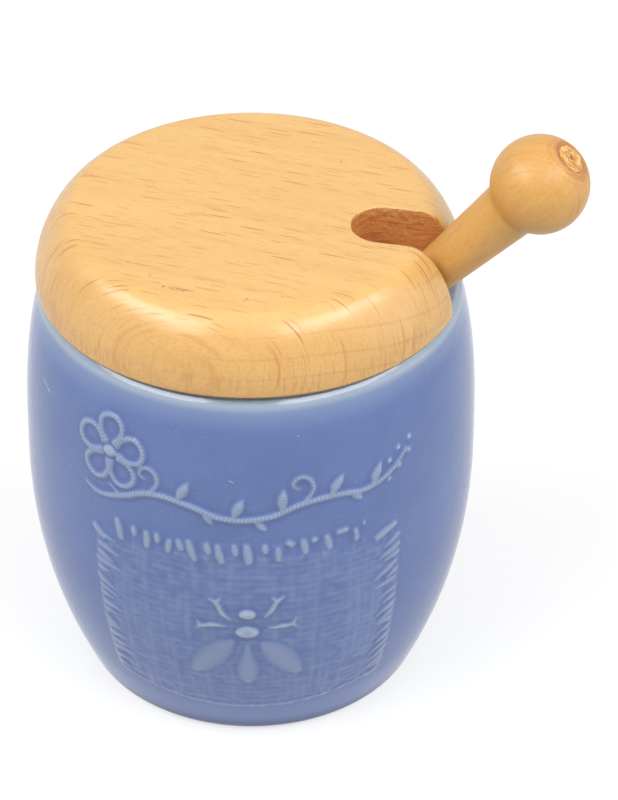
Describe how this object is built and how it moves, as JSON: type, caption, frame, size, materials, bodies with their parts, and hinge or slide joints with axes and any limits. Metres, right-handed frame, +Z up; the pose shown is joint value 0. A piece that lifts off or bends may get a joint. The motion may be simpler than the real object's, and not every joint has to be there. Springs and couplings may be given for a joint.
{
  "type": "honey pot",
  "caption": "Barrel-shaped glazed honey pot with a loose wooden lid that drops into its mouth and a wooden honey dipper that leans out through a notch in the lid.",
  "frame": {"origin": "centre of the pot's foot ring, on the table", "axes": "+Z up; +X towards the notch in the lid and the leaning dipper; the raised decoration faces 78 degrees clockwise of +X seen from above"},
  "size_m": [0.1171, 0.0956, 0.1346],
  "materials": {
    "glaze": "glossy periwinkle-blue glaze",
    "lid_wood": "oiled satin beech",
    "dipper_wood": "oiled satin beech, turned"
  },
  "bodies": {
    "pot": {"pot": "glaze"},
    "dipper": {"dipper": "dipper_wood"},
    "lid": {"lid": "lid_wood"}
  },
  "joints": [
    {"name": "dipper_lift", "type": "slide", "parent": "pot", "child": "dipper", "axis": [0, 0, 1], "range_m": [0, 0.12]},
    {"name": "lid_lift", "type": "slide", "parent": "dipper", "child": "lid", "axis": [0, 0, 1], "range_m": [0, 0.1]}
  ]
}
